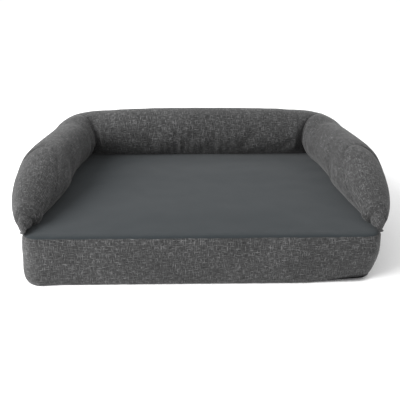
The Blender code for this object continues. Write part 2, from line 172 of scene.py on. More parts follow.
# The mitres between the back roll and the arms
MITRE_REACH = 0.078
CORNER_FULLNESS = 0.011
FULLNESS_REACH = 0.085
MITRE_PINCH = 0.010
PINCH_REACH = 0.032
MITRE_SHARES = (1.0, 0.6, 0.25)
DIAGONAL = np.array([1, 1, 0]) / math.sqrt(2)

# How each arm lies, by its side: -1 for the left and 1 for the right
SAG = {-1: 0.021, 1: 0.012}
SAG_MIDDLE_Y = -0.10
SAG_REACH = 0.15
OUTER_SWELL = {-1: 0.0, 1: 0.008}
SWELL_MIDDLE_Y = 0.07
SWELL_REACH = 0.15
OUTER_TUCK = 0.005
OUTER_TUCK_MIDDLE_Y = -0.325
OUTER_TUCK_REACH = 0.085
INNER_TUCK = 0.014
INNER_TUCK_START_Y = -0.24
INNER_TUCK_BLEND = 0.07

# The nose at the front of each arm, with a crease across it and a lip behind the crease
NOSE_RINGS = 7
NOSE_LENGTH = 0.015
NOSE_TURN = 0.7
NOSE_HEIGHT = 0.003
NOSE_CLOSING = 0.97
FOLD_OUTER = 0.003
FOLD_INNER = 0.036
FOLD_DEPTH = 0.0105
FOLD_REACH = 0.0050
FOLD_LIP = 0.0060
LIP_BEHIND = 0.020
LIP_REACH = 0.013

# Feet of the rolls on the mattress, what closes them underneath and what fills them
FOOT_SINK = 0.004
FOOT_HEIGHT = 0.024
NOSE_SINK = {-1: 0.0010, 1: 0.0025}
LINING_COLUMNS = 9
LINING_RISE = 0.0004
FILLING_SHARE = 0.80
FILLING_START_RINGS = 3
FILLING_TIP_RINGS = 9

# Lumps, grooves, puckers and wrinkles in the rolls' linen
BROAD_LUMP, BROAD_LUMP_SIZE = 0.0009, 0.085
SMALL_LUMP, SMALL_LUMP_SIZE = 0.0007, 0.03
MITRE_GROOVE, MITRE_GROOVE_REACH = 0.0055, 0.0065
SEAM_GROOVE, SEAM_GROOVE_REACH = 0.0020, 0.005
SEAM_PINCH, SEAM_PINCH_REACH = 0.0090, 0.0055
PUCKER, PUCKER_SIZE, PUCKER_REACH = 0.0011, 0.013, 0.024
WRINKLE, WRINKLE_SIZE = 0.0040, 0.021
ARM_SEED = 11.0
END_PANEL_SHIFT = (0.37, 0.11)

# Cloth simulation, held still over the outside of the mitres and taut along the inner feet
SIM_FRAMES = 20
SIM_PRESSURE = 4.0
SIM_SLACK = -0.022
SIM_CAP = 0.008
SMOOTHING = 24
SIM_INSET = 0.0035
START_REACH = 0.010
MOVE_REACH = 0.030
TAUTNESS = 0.92
SEAM_HOLD = 0.7

# Tones of the cloths: places on a ramp, and greys or colours there
LINEN_TONES = ((0.40, 0.010), (0.52, 0.027), (0.60, 0.056), (0.73, 0.17))
PLUSH_TONES = ((0.3, (0.0174, 0.0212, 0.0236)), (0.7, (0.0210, 0.0252, 0.0280)))
WEAVE_SCALE = 180.0


# Small mesh and noise tools


def wave(x, y, size, seed):
    """Smooth noise between about -1 and 1, over places x, y with features of a given size."""
    flat = [noise.noise(Vector((a / size, b / size, seed))) for a, b in zip(np.ravel(x), np.ravel(y))]
    return 1.6 * np.array(flat).reshape(np.shape(x))


def falling(distance, reach):
    return np.exp(-(np.abs(distance) / reach))


def smooth_step(value, low, high):
    share = np.clip((value - low) / (high - low), 0, 1)
    return share * share * (3 - 2 * share)


def hill(value, middle, reach):
    """A smooth hill, 1 at its middle and 0 well beyond its reach."""
    return np.exp(-(((value - middle) / reach) ** 2))


def grid_normals(points):
    along = np.gradient(points, axis=0)
    across = np.gradient(points, axis=1)
    normals = np.cross(along, across)
    return normals / np.maximum(np.linalg.norm(normals, axis=2, keepdims=True), 1e-9)


def grid_index(rows, columns):
    """The numbers of a grid's points, laid out as the grid is."""
    return np.arange(rows * columns).reshape(rows, columns)


def grid_faces(rows, columns):
    index = grid_index(rows, columns)
    corners = (index[:-1, :-1], index[:-1, 1:], index[1:, 1:], index[1:, :-1])
    return np.stack(corners, axis=-1).reshape(-1, 4)


def closed_faces(rows, columns):
    """A grid's faces, then the strip that joins its two sides, then its two ends."""
    index = grid_index(rows, columns)
    strip = [[index[i, -1], index[i, 0], index[i + 1, 0], index[i + 1, -1]] for i in range(rows - 1)]
    return [*grid_faces(rows, columns), *strip, index[0], index[-1][::-1]]


def mesh_object(name, points, faces, cloth_places):
    """A smooth-shaded object, with cloth_places as its UV layer in metres of cloth."""
    mesh = bpy.data.meshes.new(name)
    mesh.from_pydata([tuple(p) for p in points], [], [tuple(int(i) for i in f) for f in faces])
    layer = mesh.uv_layers.new(name="Cloth")
    corners = np.zeros(len(mesh.loops), np.int32)
    mesh.loops.foreach_get("vertex_index", corners)
    layer.data.foreach_set("uv", np.asarray(cloth_places, float)[corners].ravel())
    mesh.shade_smooth()
    made = bpy.data.objects.new(name, mesh)
    bpy.context.scene.collection.objects.link(made)
    return made


def face_outward(piece):
    """Turns a closed mesh's faces to point out of it."""
    shape = bmesh.new()
    shape.from_mesh(piece.data)
    bmesh.ops.recalc_face_normals(shape, faces=shape.faces)
    shape.to_mesh(piece.data)
    shape.free()


def finished(made, thickness):
    """Adds one subdivision and the cloth's thickness under the surface, both applied."""
    divide = made.modifiers.new("divide", "SUBSURF")
    divide.levels = divide.render_levels = 1
    if thickness:
        solid = made.modifiers.new("cloth", "SOLIDIFY")
        solid.thickness = thickness
        solid.offset = -1
    graph = bpy.context.evaluated_depsgraph_get()
    mesh = bpy.data.meshes.new_from_object(made.evaluated_get(graph))
    made.modifiers.clear()
    made.data = mesh
    return made


# The bolster's centre line and sections


def bezier(points, share):
    """A point and a direction on a Bezier curve of any order, for an array of shares."""
    share = share[:, None]
    degree = len(points) - 1
    place = sum(math.comb(degree, i) * (1 - share) ** (degree - i) * share**i * p
                for i, p in enumerate(points))
    steps = [b - a for a, b in zip(points, points[1:])]
    heading = sum(math.comb(degree - 1, i) * (1 - share) ** (degree - 1 - i) * share**i * s
                  for i, s in enumerate(steps))
    return place, heading


class CentreLine:
    """The right half of the bolster's path, from the middle of the back to the arm's tip."""

    def __init__(self):
        back_line = BACK_Y + BACK_OVERHANG - BACK_HALF_WIDTH
        root = np.array([HALF_WIDTH - ARM_ROOT_IN, back_line - CORNER_SIZE])
        self.tip = np.array([HALF_WIDTH - ARM_TIP_IN, FRONT_Y + TIP_SETBACK])
        self.trace(root, back_line)
        self.shape_sections()
        sharp_corner = np.array([root[0], back_line])
        bend_middle = self.place[np.searchsorted(self.distance, self.mitre)]
        self.corner_cut = np.linalg.norm(sharp_corner - bend_middle)

    def trace(self, root, back_line):
        """Works out the places and headings along the straight back, the bend and the bowed arm."""
        bow = np.array([HALF_WIDTH + ARM_BOW_OUT, (root[1] + self.tip[1]) / 2])
        start = np.array([root[0] - CORNER_SIZE, back_line])
        handle = BEZIER_CIRCLE * CORNER_SIZE
        away = (bow - root) / np.linalg.norm(bow - root)
        corner = [start, start + [handle, 0], root - handle * away, root]
        share = np.linspace(0, 1, LINE_POINTS)
        straight, forward = bezier([np.array([0, back_line]), start], share)
        bend, turning = bezier(corner, share)
        arm_line, leading = bezier([root, bow, self.tip], share)
        self.place = np.concatenate([straight[:-1], bend[:-1], arm_line])
        heading = np.concatenate([forward[:-1], turning[:-1], leading])
        self.heading = heading / np.linalg.norm(heading, axis=1, keepdims=True)
        self.heading_at_tip = np.array([*self.heading[-1], 0])
        length = np.linalg.norm(np.diff(self.place, axis=0), axis=1)
        self.distance = np.concatenate([[0], np.cumsum(length)])
        self.mitre = self.distance[LINE_POINTS - 1 + LINE_POINTS // 2 - 1]
        self.end = self.distance[-1]

    def shape_sections(self):
        """Works out the roll's half width and height along it, which taper to the arm's tip."""
        share = np.linspace(0, 1, LINE_POINTS)
        mix = np.concatenate([0 * share[:-1], share[:-1], 1 + 0 * share])
        half_width = BACK_HALF_WIDTH + (ARM_HALF_WIDTH - BACK_HALF_WIDTH) * mix
        height = BACK_HEIGHT + (ARM_HEIGHT - BACK_HEIGHT) * mix
        along = np.clip(1 - (self.place[:, 1] - self.tip[1]) / TAPER_LENGTH, 0, 1)
        full = (1 - along**TAPER_POWER) ** (1 / TAPER_POWER)
        self.half_width = TIP_HALF_WIDTH + (half_width - TIP_HALF_WIDTH) * full
        self.height = TIP_HEIGHT + (height - TIP_HEIGHT) * full

    def sag_inward(self, y, across, most):
        """How far the inside of an arm's lower half bulges over the mattress."""
        return most * smooth_step(across, 0.62, 0.92) * hill(y, SAG_MIDDLE_Y, SAG_REACH)

    def tuck_outside(self, y, across):
        """How far the outside of an arm is drawn in towards its nose."""
        outer = 1 - smooth_step(across, 0.10, 0.55)
        return OUTER_TUCK * outer * hill(y, OUTER_TUCK_MIDDLE_Y, OUTER_TUCK_REACH)

    def tuck_inside(self, y, across):
        """How far the inner foot of an arm is drawn in under its nose."""
        front = smooth_step(INNER_TUCK_START_Y - y, 0, INNER_TUCK_BLEND)
        return INNER_TUCK * smooth_step(across, 0.80, 0.97) * front

    def swell_outside(self, y, across, most):
        """How far an arm's outer half stands out near the back."""
        return most * (1 - smooth_step(across, 0.10, 0.60)) * hill(y, SWELL_MIDDLE_Y, SWELL_REACH)

    def surface(self, distance, across, side_sag=0.0, side_swell=0.0):
        """Points on the roll: across runs from 0 at the outer foot to 1 at the inner foot."""
        side = np.where(distance < 0, -1.0, 1.0)
        d = np.abs(distance)
        x, y = (np.interp(d, self.distance, self.place[:, i]) for i in (0, 1))
        hx, hy = (np.interp(d, self.distance, self.heading[:, i]) for i in (0, 1))
        half_width = np.interp(d, self.distance, self.half_width)
        height = np.interp(d, self.distance, self.height)
        upper = height / (1 + SECTION_ROUNDNESS)
        middle = height - upper
        start = np.arcsin(-middle / upper)
        angle = start + (math.pi - 2 * start) * across
        lateral = half_width * np.cos(angle)
        z = BOLSTER_BOTTOM + middle + upper * np.sin(angle)
        lateral = lateral - self.sag_inward(y, across, side_sag)
        lateral = lateral - self.tuck_outside(y, across) + self.tuck_inside(y, across)
        lateral = lateral + self.swell_outside(y, across, side_swell)
        points = np.stack([x - lateral * hy, y + lateral * hx, z], axis=-1)
        points += self.corner_out(d, lateral, across)[..., None] * DIAGONAL
        return points * np.stack([side, 1 + 0 * side, 1 + 0 * side], axis=-1)

    def corner_out(self, d, lateral, across):
        """How far the bend moves out: its inside to a sharp mitre, and its outside to a full corner."""
        inside = smooth_step(across, 0.50, 0.78)
        near = np.clip(1 - np.abs(d - self.mitre) / MITRE_REACH, 0, 1) ** 2
        fullness = CORNER_FULLNESS * (1 - smooth_step(across, 0.35, 0.62)) * smooth_step(across, 0.0, 0.15)
        pinch = MITRE_PINCH * smooth_step(across, 0.50, 0.70) * smooth_step(1 - across, 0.0, 0.16)
        out = fullness * hill(d, self.mitre, FULLNESS_REACH) + pinch * hill(d, self.mitre, PINCH_REACH)
        return inside * near * (self.corner_cut - (math.sqrt(2) - 1) * np.abs(lateral)) + out


LINE = CentreLine()


def seam_height(y):
    """The height of the end panels' seam plane over a place y."""
    slope = (ARM_HEIGHT + PANEL_DROP) / PANEL_TOP_BACK
    return BOLSTER_BOTTOM - PANEL_DROP + slope * (y - LINE.tip[1])


def seam_distances(across):
    """Where the seam plane meets the arm, for each place across it."""
    tries = np.linspace(LINE.mitre, LINE.end, 1500)
    found = []
    for share in across:
        points = LINE.surface(tries, np.full_like(tries, share))
        above = points[:, 2] - seam_height(points[:, 1])
        crossing = np.argmax(above > 0)
        found.append(tries[crossing])
    return np.array(found)


def back_grid():
    across = np.linspace(0, 1, SECTION_POINTS + 1)
    count = int(2 * LINE.mitre / RING_SPACING)
    distance = np.linspace(-LINE.mitre, LINE.mitre, count)
    d, v = np.meshgrid(distance, across, indexing="ij")
    return d, v


def arm_grid():
    """Places on the arm from the mitre to the tip, and the row that is the end panel's seam."""
    across = np.linspace(0, 1, SECTION_POINTS + 1)
    seam = seam_distances(across)
    cover_rings = int((seam.mean() - LINE.mitre) / RING_SPACING)
    panel_rings = int((LINE.end - seam.mean()) / PANEL_SPACING)
    cover_share = np.linspace(0, 1, cover_rings)[:, None]
    panel_share = np.linspace(0, 1, panel_rings)[1:, None]
    cover = LINE.mitre + cover_share * (seam - LINE.mitre)
    panel = seam + panel_share * (LINE.end - seam)
    distance = np.concatenate([cover, panel])
    return distance, across + 0 * distance, cover_rings - 1


def nose(points):
    """Rings that round off the tip, from its last ring to a small closing ring."""
    last = points[-1]
    middle = last.mean(axis=0)
    middle[2] = BOLSTER_BOTTOM + NOSE_HEIGHT
    ahead = LINE.heading_at_tip + [-NOSE_TURN, 0, 0]
    ahead /= np.linalg.norm(ahead)
    rings = []
    for i in range(1, NOSE_RINGS + 1):
        angle = NOSE_CLOSING * math.pi / 2 * i / NOSE_RINGS
        ring = middle + (last - middle) * math.cos(angle)
        rings.append(ring + NOSE_LENGTH * math.sin(angle) * ahead)
    return np.concatenate([points, np.array(rings)])


# Cloth simulation


def sewn_edges(shape):
    """1 at a roll's two ends and along its two feet, which are stitched, and 0 between them."""
    sewn = np.zeros(shape)
    sewn[0] = sewn[-1] = 1
    sewn[:, :2] = sewn[:, -2:] = 1
    return sewn


def add_cloth(made, sewn):
    """Linen under the pressure of its stuffing, held where it is sewn."""
    group = made.vertex_groups.new(name="sewn")
    for i, weight in enumerate(sewn.ravel()):
        if weight > 0:
            group.add([i], float(weight), "REPLACE")
    cloth = made.modifiers.new("cloth", "CLOTH")
    settings = cloth.settings
    settings.quality = 4
    settings.mass = 0.25
    settings.tension_stiffness = settings.compression_stiffness = 12
    settings.shear_stiffness = 4
    settings.bending_stiffness = 1.5
    settings.vertex_group_mass = "sewn"
    settings.pin_stiffness = 1.0
    settings.shrink_min = SIM_SLACK
    settings.use_pressure = True
    settings.uniform_pressure_force = SIM_PRESSURE
    settings.effector_weights.gravity = 0
    cloth.point_cache.frame_start = 1
    cloth.point_cache.frame_end = SIM_FRAMES


def simulated(points, sewn):
    """The grid's points after a stuffed-cloth simulation, each moved no further than the cap."""
    flat = points.reshape(-1, 3)
    made = mesh_object("stuffed", flat, closed_faces(*points.shape[:2]), flat[:, :2])
    face_outward(made)
    add_cloth(made, sewn)
    for frame_number in range(1, SIM_FRAMES + 1):
        bpy.context.scene.frame_set(frame_number)
    graph = bpy.context.evaluated_depsgraph_get()
    result = made.evaluated_get(graph).to_mesh()
    moved = np.zeros(len(result.vertices) * 3)
    result.vertices.foreach_get("co", moved)
    bpy.data.objects.remove(made)
    bpy.context.scene.frame_set(1)
    move = moved.reshape(points.shape) - points
    length = np.linalg.norm(move, axis=2, keepdims=True)
    return points + move * np.minimum(1, SIM_CAP / np.maximum(length, 1e-9))


def stuffed(points, v, sewn, mitre_gap):
    """The cloth starts a little small and swells to its size, but not over the outside of a mitre.
    """
    free = smooth_step(np.minimum(v, 1 - v), 0.0, 0.12)
    outside = 1 - smooth_step(v, 0.36, 0.56)
    start = push(points, -SIM_INSET * free * (1 - outside * falling(mitre_gap, START_REACH)))
    move = simulated(start, sewn) - start
    slack = (1 - TAUTNESS * smooth_step(v, 0.60, 0.80))[..., None]
    for _ in range(SMOOTHING):
        mean = move.copy()
        mean[1:-1, 1:-1] = (move[:-2, 1:-1] + move[2:, 1:-1] + move[1:-1, :-2] + move[1:-1, 2:]) / 4
        move = move + (mean - move) * slack
    return start + move * (1 - outside * falling(mitre_gap, MOVE_REACH))[..., None]


# Materials


class Nodes:
    """Short ways to add and join shader nodes in one material."""

    def __init__(self, name):
        self.material = bpy.data.materials.new(name)
        self.material.use_nodes = True
        self.tree = self.material.node_tree
        self.shader = self.tree.nodes["Principled BSDF"]

    def add(self, kind, inputs=(), **settings):
        made = self.tree.nodes.new(kind)
        for key, value in settings.items():
            setattr(made, key, value)
        for key, value in dict(inputs).items():
            self.put(made.inputs[key], value)
        return made

    def put(self, socket, value):
        if isinstance(value, bpy.types.NodeSocket):
            self.tree.links.new(value, socket)
        else:
            socket.default_value = value

    def shaded(self, inputs):
        """Sets the shader's inputs to values or sockets, and returns the material."""
        for name, value in inputs.items():
            self.put(self.shader.inputs[name], value)
        return self.material

    def cloth(self, scale):
        """Cloth coordinates in metres, times scale."""
        place = self.add("ShaderNodeUVMap", uv_map="Cloth").outputs[0]
        return self.add("ShaderNodeMapping", {"Vector": place, "Scale": (*scale, 1)}).outputs[0]

    def noise(self, place, scale=1.0, detail=2.0, roughness=0.5):
        inputs = {"Vector": place, "Scale": scale, "Detail": detail, "Roughness": roughness}
        return self.add("ShaderNodeTexNoise", inputs).outputs["Fac"]

    def yarns(self, direction):
        """Evenly spaced yarns that lie side by side along X or Y."""
        inputs = {"Vector": self.cloth((1, 1)), "Scale": WEAVE_SCALE, "Distortion": 0.6}
        return self.add("ShaderNodeTexWave", inputs, bands_direction=direction).outputs["Fac"]

    def math(self, operation, first, second=0.0):
        made = self.add("ShaderNodeMath", operation=operation)
        self.put(made.inputs[0], first)
        self.put(made.inputs[1], second)
        return made.outputs[0]

    def ramp(self, factor, stops):
        made = self.add("ShaderNodeValToRGB", {"Fac": factor})
        elements = made.color_ramp.elements
        while len(elements) < len(stops):
            elements.new(0.5)
        for element, (position, colour) in zip(elements, stops):
            element.position = position
            element.color = (*colour, 1)
        return made.outputs["Color"]

    def bump(self, height, distance, strength=1.0, normal=None):
        made = self.add("ShaderNodeBump", {"Height": height, "Distance": distance, "Strength": strength})
        if normal is not None:
            self.put(made.inputs["Normal"], normal)
        return made.outputs["Normal"]


def grey(value):
    return (value, value, value * 1.01)


def linen_material():
    """Heather linen: dark yarns with paler slubs along both directions of a plain weave."""
    n = Nodes("heather_linen")
    weft = n.noise(n.cloth((60, 400)), detail=3.0, roughness=0.6)
    warp = n.noise(n.cloth((400, 60)), detail=3.0, roughness=0.6)
    speck = n.noise(n.cloth((330, 330)), detail=2.0, roughness=0.55)
    patch = n.noise(n.cloth((9, 9)), detail=2.0)
    slubs = n.math("MAXIMUM", weft, warp)
    tone = n.math("ADD", n.math("MULTIPLY", slubs, 0.82), n.math("MULTIPLY", speck, 0.18))
    tone = n.math("ADD", tone, n.math("MULTIPLY", n.math("SUBTRACT", patch, 0.5), 0.10))
    colour = n.ramp(tone, [(stop, grey(value)) for stop, value in LINEN_TONES])
    fine = n.bump(n.math("MULTIPLY", n.yarns("X"), n.yarns("Y")), 0.0003, 0.5)
    n.shaded({"Specular IOR Level": 0.2, "Sheen Weight": 0.12, "Sheen Roughness": 0.5})
    return n.shaded({"Base Color": colour, "Roughness": 0.92, "Normal": n.bump(tone, 0.0012, 0.6, fine)})


def plush_material():
    """Short brushed plush: even in colour, with a very fine nap."""
    n = Nodes("brushed_plush")
    nap = n.noise(n.cloth((900, 900)), detail=2.0)
    drift = n.noise(n.cloth((14, 14)), detail=3.0)
    tone = n.math("ADD", n.math("MULTIPLY", nap, 0.5), n.math("MULTIPLY", drift, 0.5))
    colour = n.ramp(tone, PLUSH_TONES)
    n.shaded({"Specular IOR Level": 0.15, "Sheen Weight": 0.15, "Sheen Roughness": 0.45})
    return n.shaded({"Base Color": colour, "Roughness": 0.95, "Normal": n.bump(nap, 0.0004, 0.5)})


def tint(colour, share):
    return tuple(share * c for c in colour)


def plain_cloth(name, colour):
    """A fine plain-woven cloth."""
    n = Nodes(name)
    thread = n.noise(n.cloth((500, 500)), detail=2.0)
    tone = n.ramp(thread, [(0.35, tint(colour, 0.8)), (0.65, tint(colour, 1.25))])
    return n.shaded({"Base Color": tone, "Roughness": 0.9, "Normal": n.bump(thread, 0.0003, 0.5)})


def foam_material(name, colour):
    """Open-celled foam or loose fibre, even in colour with fine pores."""
    n = Nodes(name)
    pores = n.noise(n.add("ShaderNodeTexCoord").outputs["Object"], scale=700.0, detail=2.0)
    tone = n.ramp(pores, [(0.35, tint(colour, 0.85)), (0.6, colour)])
    return n.shaded({"Base Color": tone, "Roughness": 0.95, "Normal": n.bump(pores, 0.0006, 0.6)})


def hard_material(name, colour, roughness, metallic):
    """Plastic, metal or rubber, a little worn: paler and rougher in small patches."""
    n = Nodes(name)
    wear = n.noise(n.add("ShaderNodeTexCoord").outputs["Object"], scale=900.0, detail=3.0)
    tone = n.ramp(wear, [(0.45, colour), (0.75, tint(colour, 1.5))])
    rough = n.math("ADD", n.math("MULTIPLY", wear, 0.12), roughness - 0.06)
    return n.shaded({"Base Color": tone, "Roughness": rough, "Metallic": metallic})


def dress(piece, material):
    piece.data.materials.clear()
    piece.data.materials.append(material)


# Bolster pieces


def roll_coordinates(d, v):
    """Cloth coordinates: along the roll, and round it from its top."""
    return np.stack([d, (v - 0.5) * ROLL_GIRTH], axis=-1)


def plump(points, d, v, mitre_gap, seam_gap, seed):
    """Moves a roll's grid along its normals for lumps, seam grooves and puckers."""
    round_ = (v - 0.5) * ROLL_GIRTH
    free = smooth_step(np.minimum(v, 1 - v), 0.0, 0.10)
    lumps = BROAD_LUMP * wave(d, round_, BROAD_LUMP_SIZE, seed)
    lumps += SMALL_LUMP * wave(d, round_, SMALL_LUMP_SIZE, seed + 5)
    lumps *= 0.4 + 0.6 * smooth_step(v, 0.35, 0.7)
    inside = 0.12 + 0.88 * smooth_step(v, 0.36, 0.56)
    groove = -MITRE_GROOVE * inside * falling(mitre_gap, MITRE_GROOVE_REACH)
    groove -= SEAM_GROOVE * falling(seam_gap, SEAM_GROOVE_REACH)
    groove -= SEAM_PINCH * hill(v, 0.40, 0.05) * falling(seam_gap, SEAM_PINCH_REACH)
    near_seam = falling(np.minimum(mitre_gap, seam_gap), PUCKER_REACH)
    puckers = PUCKER * near_seam * wave(0.25 * d, round_, PUCKER_SIZE, seed + 9)
    return push(points, free * (lumps + puckers) + groove)


def push(points, distance):
    """Moves a grid out along its normals."""
    normals = grid_normals(points)
    return points + (distance * normal_side(points, normals))[..., None] * normals


def normal_side(points, normals):
    """1 where the grid's normals point out of the roll, else -1."""
    ring = points[points.shape[0] // 2]
    top = ring.shape[0] // 2
    inward = ring.mean(axis=0) - ring[top]
    return -1.0 if np.dot(inward, normals[points.shape[0] // 2, top]) > 0 else 1.0


def roll_piece(name, points, cloth_places, outward):
    faces = grid_faces(points.shape[0], points.shape[1])
    if not outward:
        faces = faces[:, ::-1]
    return mesh_object(name, points.reshape(-1, 3), faces, cloth_places.reshape(-1, 2))


def wrinkled(points, d, v):
    """Small upright folds along the inner foot of the back roll, near its middle."""
    low = smooth_step(v, 0.60, 0.80) * smooth_step(1.02 - v, 0.0, 0.12)
    low = low * smooth_step(0.18 - np.abs(d + 0.01), 0.0, 0.10)
    return push(points, -WRINKLE * low * np.abs(wave(d, 0.02 * v, WRINKLE_SIZE, 33.0)))


def back_roll():
    """The back roll's cover, lining and stuffing, and the cover's two end rings by side."""
    d, v = back_grid()
    mitre_gap = LINE.mitre - np.abs(d)
    no_seam = 1 + 0 * d
    points = stuffed(LINE.surface(d, v), v, sewn_edges(d.shape), mitre_gap)
    points = plump(points, d, v, mitre_gap, no_seam, 1.0)
    points = hugging(wrinkled(points, d, v))
    piece = roll_piece("back_roll_cover", points, roll_coordinates(d, v), False)
    under = lining("back_roll_underside", points)
    stuffing = filling("back_roll_stuffing", points[FILLING_START_RINGS:-FILLING_START_RINGS])
    return finished(piece, COVER_THICKNESS), under, stuffing, {-1: points[0], 1: points[-1]}


def folded(points, v, from_tip):
    """Draws in the crease that crosses the nose, and swells the cloth behind it to a lip."""
    gap = from_tip - (FOLD_OUTER + (FOLD_INNER - FOLD_OUTER) * v)
    depth = FOLD_DEPTH * (0.3 + 0.7 * smooth_step(v, 0.05, 0.35))
    crease = -depth * hill(gap, 0, FOLD_REACH)
    lip = FOLD_LIP * hill(gap, LIP_BEHIND, LIP_REACH) * smooth_step(v, 0.25, 0.55)
    return push(points, crease + lip)


def hugging(points, nose_sink=0.0):
    """Lets a roll's foot sink over the mattress's edge where it stands out past it."""
    height = points[..., 2] - BOLSTER_BOTTOM
    outside = smooth_step(-edge_distance(points[..., 0], points[..., 1]), -0.003, 0.012)
    front = smooth_step(-points[..., 1], 0.16, 0.30)
    low = np.clip(1 - height / FOOT_HEIGHT, 0, 1)
    sink = (FOOT_SINK + (nose_sink - FOOT_SINK) * front) * outside * low
    lowered = points.copy()
    lowered[..., 2] -= sink
    return lowered


def lining(name, points):
    """The strip that closes a roll underneath, from its outer foot to its inner foot."""
    share = np.linspace(0, 1, LINING_COLUMNS)[:, None]
    outer, inner = points[:, :1], points[:, -1:]
    strip = outer + (inner - outer) * share
    inside = smooth_step(edge_distance(strip[..., 0], strip[..., 1]), -0.004, 0.003)
    floor = BOLSTER_BOTTOM + LINING_RISE
    strip[..., 2] = strip[..., 2] + (floor - strip[..., 2]) * inside
    places = strip[..., :2].reshape(-1, 2)
    piece = roll_piece(name, strip, places, points[0, 0, 0] > 0)
    middle = strip[:, LINING_COLUMNS // 2]
    length = float(np.linalg.norm(np.diff(middle, axis=0), axis=1).sum())
    finished(piece, LINING_THICKNESS)
    return piece


def filling(name, points):
    """The stuffing inside a roll, clear of its cover, closed underneath and at both ends."""
    middle = points.mean(axis=1, keepdims=True)
    inner = (middle + FILLING_SHARE * (points - middle))[::2, ::2]
    flat = inner.reshape(-1, 3)
    piece = mesh_object(name, flat, closed_faces(*inner.shape[:2]), flat[:, :2])
    face_outward(piece)
    return piece


def arm_points(side):
    """The arm with its nose, each point's distance and place across, and the seam's row."""
    d, v, seam_row = arm_grid()
    points = nose(LINE.surface(d, v, SAG[side], OUTER_SWELL[side]))
    extra = np.linspace(0, NOSE_LENGTH, NOSE_RINGS + 1)[1:, None]
    d = np.concatenate([d, LINE.end + extra + 0 * d[:1]])
    v = np.concatenate([v, v[:1] + 0 * extra])
    return points, d, v, seam_row


def arm(side, side_name, mitre_ring):
    """An arm's cover, end panel, lining and stuffing, its first ring joined to the back roll's."""
    points, d, v, seam_row = arm_points(side)
    mitre_gap = d - LINE.mitre
    sewn = sewn_edges(d.shape)
    sewn[seam_row, 2:-2] = SEAM_HOLD
    points = stuffed(points, v, sewn, mitre_gap)
    points = plump(points, d, v, mitre_gap, np.abs(d - d[seam_row]), ARM_SEED + side)
    points = hugging(folded(points, v, LINE.end - d), NOSE_SINK[side]) * [side, 1, 1]
    gap_to_back = mitre_ring - points[0]
    for row, share in enumerate(MITRE_SHARES):
        points[row] += share * gap_to_back
    places = roll_coordinates(d, v)
    after_seam = seam_row + 1
    cover = roll_piece(side_name + "_arm_roll_cover", points[:after_seam], places[:after_seam], side < 0)
    end_places = places[seam_row:] + END_PANEL_SHIFT
    panel = roll_piece(side_name + "_arm_end_cover", points[seam_row:], end_places, side < 0)
    under = lining(side_name + "_arm_underside", points[:-NOSE_RINGS])
    filled = points[FILLING_START_RINGS:-NOSE_RINGS - FILLING_TIP_RINGS]
    stuffing = filling(side_name + "_arm_stuffing", filled)
    return finished(cover, COVER_THICKNESS), finished(panel, COVER_THICKNESS), under, stuffing


# Mattress pieces


def mattress_rows(inset=0.0):
    """Places y of rows across the mattress and each row's half width, all inset from the edge."""
    ends = []
    for radius, edge, sign in ((FRONT_CORNER_RADIUS, FRONT_Y, 1), (BACK_CORNER_RADIUS, BACK_Y, -1)):
        count = int(radius * math.pi / 2 / CLOTH_SPACING)
        angles = [math.pi / 2 * i / count for i in range(count + 1)]
        kept = radius - inset
        ends.append([(edge + sign * (radius - kept * math.cos(a)), HALF_WIDTH - radius + kept * math.sin(a))
                     for a in angles])
    front, back = ends
    low, high = front[-1][0], back[-1][0]
    count = int((high - low) / CLOTH_SPACING)
    straight = [(low + (high - low) * i / count, HALF_WIDTH - inset) for i in range(1, count)]
    return np.array(front + straight + back[::-1])


def mattress_grid(inset=0.0):
    """Rows and columns of places over the mattress, whose border is the inset outline."""
    rows = mattress_rows(inset)
    columns = np.linspace(-1, 1, int(2 * HALF_WIDTH / CLOTH_SPACING))
    x = rows[:, 1:] * columns
    y = rows[:, :1] + 0 * columns
    return np.stack([x, y], axis=-1)


def joined(loops):
    """Faces between each closed loop of points and the next."""
    return [np.stack([one, other, np.roll(other, -1), np.roll(one, -1)], axis=-1)
            for one, other in zip(loops, loops[1:])]


def border(grid):
    """The grid's border, from its front left corner and back to there."""
    return np.concatenate([grid[0, :-1], grid[:-1, -1], grid[-1, :0:-1], grid[:0:-1, 0]])


def edge_distance(x, y):
    """How far a place is inside the mattress's outline."""
    radius = np.where(y < 0, FRONT_CORNER_RADIUS, BACK_CORNER_RADIUS)
    side = HALF_WIDTH - np.abs(x)
    end = np.where(y < 0, y - FRONT_Y, BACK_Y - y)
    in_corner = (side < radius) & (end < radius)
    corner = radius - np.hypot(radius - side, radius - end)
    return np.where(in_corner, corner, np.minimum(side, end))


def capped_panel(name, insets, heights, surface, facing):
    """A panel with border rings at the given insets and heights, and a surface inside them."""
    inner = mattress_grid(insets[-1])
    rings = [border(mattress_grid(inset)) for inset in insets[:-1]]
    index = grid_index(*inner.shape[:2])
    loops = [border(index)]
    points = [np.dstack([inner, surface(inner[..., 0], inner[..., 1])]).reshape(-1, 3)]
    used = index.size
    for ring, height in zip(rings[::-1], heights[::-1]):
        loops.append(used + np.arange(len(ring)))
        used += len(ring)
        lift = surface(ring[:, 0], ring[:, 1])
        points.append(np.column_stack([ring, height + lift]))
    points = leaned(np.concatenate(points))
    faces = np.concatenate([grid_faces(*index.shape), *joined(loops)])
    if facing < 0:
        faces = faces[:, ::-1]
    return mesh_object(name, points, faces, points[:, :2])


def crown(x, y):
    """The plush surface between the rolls, slightly domed and a little uneven."""
    free = smooth_step(0.34 - np.abs(x), 0, 0.14) * smooth_step(0.18 - y, 0, 0.14)
    free *= smooth_step(y - FRONT_Y, 0, 0.16)
    edge = edge_distance(x, y)
    ripple = 0.0003 * wave(x, y, 0.05, 41.0)
    ripple += 0.0006 * falling(edge, 0.018) * wave(x + y, x - y, 0.026, 43.0)
    return PLUSH_TOP + CROWN * free + ripple


